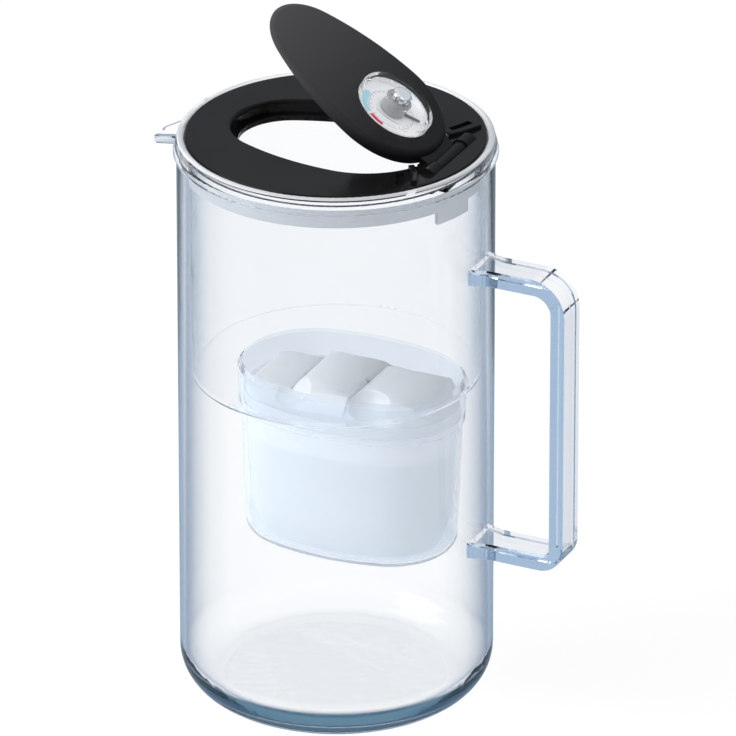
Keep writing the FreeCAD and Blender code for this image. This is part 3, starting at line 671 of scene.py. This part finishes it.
class PITCHER_OT_flap(bpy.types.Operator):
    """Dress the fill flap"""

    bl_idname = "pitcher.flap"
    bl_label = "Fill flap"

    def execute(self, context):
        # The flap's finish paints a highlight that pales it towards the tip.
        satin = black_finish("Satin flap", rough=0.34, spread=0.05, specular=0.08, painted_highlight=10.0)
        smooth_copy("flap_cover", "flap_satin", satin)
        smooth_copy("flap_liner", "flap_inside", satin)
        pale = grey_finish("Cup white", CUP_PALE, rough=0.4)
        smooth_copy("counter_housing", "counter_cup", satin, pale, in_cup)
        return {"FINISHED"}


class PITCHER_OT_counter(bpy.types.Operator):
    """Dress the change counter on the flap"""

    bl_idname = "pitcher.counter"
    bl_label = "Counter"

    def execute(self, context):
        grey = grey_finish("Hub grey", looks().knob_grey, rough=0.3)
        dark = grey_finish("Pointer grey", POINTER_DARK, rough=0.35)
        white = grey_finish("Wheel white", WHEEL_WHITE, rough=0.4)
        bright = metal_finish("Bright plate", PLATE_BRIGHT, rough=0.12, stretch=(1.0, 1.0, 1.0))
        leaf = metal_finish("Leaf steel", LEAF_STEEL, rough=0.3, stretch=(1.0, 0.1, 1.0))
        smooth_copy("scale_disc", "scale_print", scale_finish())
        smooth_copy("counter_lens", "lens_clear", clear_plastic_finish("Lens", LENS_BEND))
        smooth_copy("reset_knob", "knob_bright", bright)
        smooth_copy("knob_ring", "hub_grey", grey)
        smooth_copy("counter_pointer", "pointer_dark", dark)
        smooth_copy("counter_spindle", "spindle_grey", grey)
        smooth_copy("click_wheel", "wheel_white", white)
        smooth_copy("detent_spring", "leaf_steel", leaf)
        return {"FINISHED"}


def in_scoop(face):
    """True on the round hollows in the sides of the cap."""
    spot = face.calc_center_median()
    middle = (CAP_LOW + CAP_HIGH) / 2
    for x, y in SCOOPS_M:
        ball = Vector((middle.x + x, math.copysign(y, spot.y), CAP_LOW.z + SCOOP_RISE_M))
        if (spot - ball).length < SCOOP_REACH_M:
            return True
    return False


class PITCHER_OT_cartridge(bpy.types.Operator):
    """Dress the filter cartridge"""

    bl_idname = "pitcher.cartridge"
    bl_label = "Cartridge"

    def execute(self, context):
        milky = milky_finish("Milky plastic", depth=0.93)
        cap = milky_finish("Milky cap", depth=0.93)
        # Painted light: the cap's hollows get a paler copy of the cap's milky finish, without its darker clouds,
        # as if more light fell in them.
        painted_light_scoop = milky_finish("Scoop painted light", depth=1.0)
        band = soft_finish("Seal band", looks().cartridge_white, see_through=0.2)
        mesh = mesh_finish()
        smooth_copy("cartridge_shell", "filter_body", milky)
        smooth_copy("cartridge_cap", "filter_cap", cap, painted_light_scoop, in_scoop, CAP_SHARP_DEG)
        smooth_copy("cartridge_gasket", "filter_band", band)
        smooth_copy("cartridge_media", "filter_fill", granule_finish())
        smooth_copy("inlet_screen", "screen_top", mesh)
        smooth_copy("outlet_screen", "screen_low", mesh)
        return {"FINISHED"}


def bearing_vector(azimuth, elevation):
    """Unit vector from the object towards a bearing."""
    flat = math.cos(elevation)
    return Vector((math.sin(azimuth) * flat, -math.cos(azimuth) * flat, math.sin(elevation)))


SENSOR_MM = 36.0
CLIP_END_M = 50.0


def make_camera(stage):
    data = bpy.data.cameras.new("Camera")
    data.sensor_width = SENSOR_MM
    data.lens = stage.lens
    data.clip_end = CLIP_END_M
    camera = bpy.data.objects.new("Camera", data)
    bpy.context.scene.collection.objects.link(camera)
    back = bearing_vector(stage.azimuth, stage.elevation)
    camera.location = Vector(stage.target) + back * stage.distance
    camera.rotation_mode = "QUATERNION"
    camera.rotation_quaternion = (-back).to_track_quat("-Z", "Y")
    bpy.context.scene.camera = camera


LAMP_AWAY_M = 1.6


def make_lamp(name, azimuth_deg, elevation_deg, side, power):
    """Square soft lamp that looks at the middle of the jug."""
    data = bpy.data.lights.new(name, "AREA")
    data.shape = "RECTANGLE"
    data.size = side
    data.size_y = side
    data.energy = power
    lamp = bpy.data.objects.new(name, data)
    bpy.context.scene.collection.objects.link(lamp)
    back = bearing_vector(math.radians(azimuth_deg), math.radians(elevation_deg))
    lamp.location = Vector((0, 0, JUG_TOP / 2)) + back * LAMP_AWAY_M
    lamp.rotation_mode = "QUATERNION"
    lamp.rotation_quaternion = (-back).to_track_quat("-Z", "Y")


def ray_masks(tree):
    """Two masks: rays that see the background straight or through glass, and mirrored rays."""
    path = add(tree, "ShaderNodeLightPath")
    through = path.outputs["Is Transmission Ray"]
    seen = math_node(tree, "MAXIMUM", path.outputs["Is Camera Ray"], through)
    return seen, math_node(tree, "GREATER_THAN", path.outputs["Is Glossy Ray"], through)


# Share of white in the mirrored dome, from straight down (0) over the horizon (0.5) to straight up (1).
DOME_STOPS = [(0.0, 0.5), (0.42, 0.0), (0.6, 0.15), (0.75, 0.7), (1.0, 1.0)]


def make_world(stage):
    """White to the camera and through glass; reflections see a dome that turns blue near the horizon."""
    world = bpy.data.worlds.new("Studio")
    bpy.context.scene.world = world
    world.use_nodes = True
    tree = world.node_tree
    tree.nodes.clear()
    seen, mirrored = ray_masks(tree)
    way = add(tree, "ShaderNodeTexCoord").outputs["Generated"]
    height = add(tree, "ShaderNodeSeparateXYZ", {"Vector": way}).outputs["Z"]
    lifted = add(tree, "ShaderNodeMapRange", {"Value": height, "From Min": -1.0,
                                              "From Max": 1.0}).outputs["Result"]
    dome = ramp(tree, lifted, DOME_STOPS)
    even = rgba((stage.dome, stage.dome, stage.dome))
    sky = mix_colour(tree, dome, rgba(looks().mirror_blue), WHITE)
    colour = mix_colour(tree, mirrored, even, sky)
    colour = mix_colour(tree, seen, colour, WHITE)
    light = add(tree, "ShaderNodeBackground", {"Color": colour, "Strength": 1.0})
    out = tree.nodes.new("ShaderNodeOutputWorld")
    tree.links.new(light.outputs[0], out.inputs["Surface"])


SHADOW_KEPT = 0.25


def make_floor(stage):
    """Floor that fades to the white background but keeps a soft shadow, and is blue when mirrored."""
    mesh = bpy.data.meshes.new("Floor")
    shape = bmesh.new()
    bmesh.ops.create_grid(shape, x_segments=1, y_segments=1, size=stage.floor_half)
    shape.to_mesh(mesh)
    shape.free()
    floor = bpy.data.objects.new("Floor", mesh)
    bpy.context.scene.collection.objects.link(floor)
    material = bpy.data.materials.new("Studio floor")
    material.use_nodes = True
    tree = material.node_tree
    tree.nodes.clear()
    seen, mirrored = ray_masks(tree)
    matt = add(tree, "ShaderNodeBsdfDiffuse", {"Color": rgba(looks().floor_white)})
    bright = mix_colour(tree, mirrored, rgba(looks().floor_white), rgba(looks().mirror_blue))
    white = add(tree, "ShaderNodeEmission", {"Color": bright, "Strength": 1.0})
    share = math_node(tree, "MULTIPLY", math_node(tree, "MAXIMUM", seen, mirrored), 1.0 - SHADOW_KEPT)
    blend = add(tree, "ShaderNodeMixShader", {"Fac": share})
    tree.links.new(matt.outputs[0], blend.inputs[1])
    tree.links.new(white.outputs[0], blend.inputs[2])
    out = tree.nodes.new("ShaderNodeOutputMaterial")
    tree.links.new(blend.outputs[0], out.inputs["Surface"])
    mesh.materials.append(material)


GLASS_BOUNCES = 24


class PITCHER_OT_stage(bpy.types.Operator):
    """Set the camera, lamps, dome and floor"""

    bl_idname = "pitcher.stage"
    bl_label = "Stage"

    def execute(self, context):
        scene = context.scene
        stage = scene.pitcher_stage
        scene.view_settings.view_transform = "Standard"
        scene.cycles.max_bounces = GLASS_BOUNCES
        scene.cycles.transmission_bounces = GLASS_BOUNCES
        scene.cycles.transparent_max_bounces = GLASS_BOUNCES
        make_camera(stage)
        make_world(stage)
        make_floor(stage)
        make_lamp("Key", azimuth_deg=-55.0, elevation_deg=40.0, side=1.2, power=stage.key_power)
        make_lamp("Fill", azimuth_deg=80.0, elevation_deg=55.0, side=0.9, power=stage.fill_power)
        return {"FINISHED"}


OPERATORS = [PITCHER_OT_groups, PITCHER_OT_glass, PITCHER_OT_funnel, PITCHER_OT_lid, PITCHER_OT_flap,
             PITCHER_OT_counter, PITCHER_OT_cartridge, PITCHER_OT_stage]


class PITCHER_PT_panel(bpy.types.Panel):
    """Sidebar list of the pitcher's pieces and finishes"""

    bl_idname = "PITCHER_PT_panel"
    bl_label = "Filter pitcher"
    bl_space_type = "VIEW_3D"
    bl_region_type = "UI"
    bl_category = "Pitcher"

    def draw(self, context):
        layout = self.layout
        for group in (context.scene.pitcher_looks, context.scene.pitcher_stage):
            for name in group.__annotations__:
                layout.prop(group, name)
        for operator in OPERATORS:
            layout.operator(operator.bl_idname)


CLASSES = [PitcherLooks, PitcherStage, *OPERATORS, PITCHER_PT_panel]


def register():
    for cls in CLASSES:
        bpy.utils.register_class(cls)
    bpy.types.Scene.pitcher_looks = PointerProperty(type=PitcherLooks)
    bpy.types.Scene.pitcher_stage = PointerProperty(type=PitcherStage)


def unregister():
    del bpy.types.Scene.pitcher_stage
    del bpy.types.Scene.pitcher_looks
    for cls in reversed(CLASSES):
        bpy.utils.unregister_class(cls)


def main():
    register()
    bpy.ops.pitcher.groups()
    bpy.ops.pitcher.glass()
    bpy.ops.pitcher.funnel()
    bpy.ops.pitcher.lid()
    bpy.ops.pitcher.flap()
    bpy.ops.pitcher.counter()
    bpy.ops.pitcher.cartridge()
    bpy.ops.pitcher.stage()


if __name__ == "__main__":
    main()
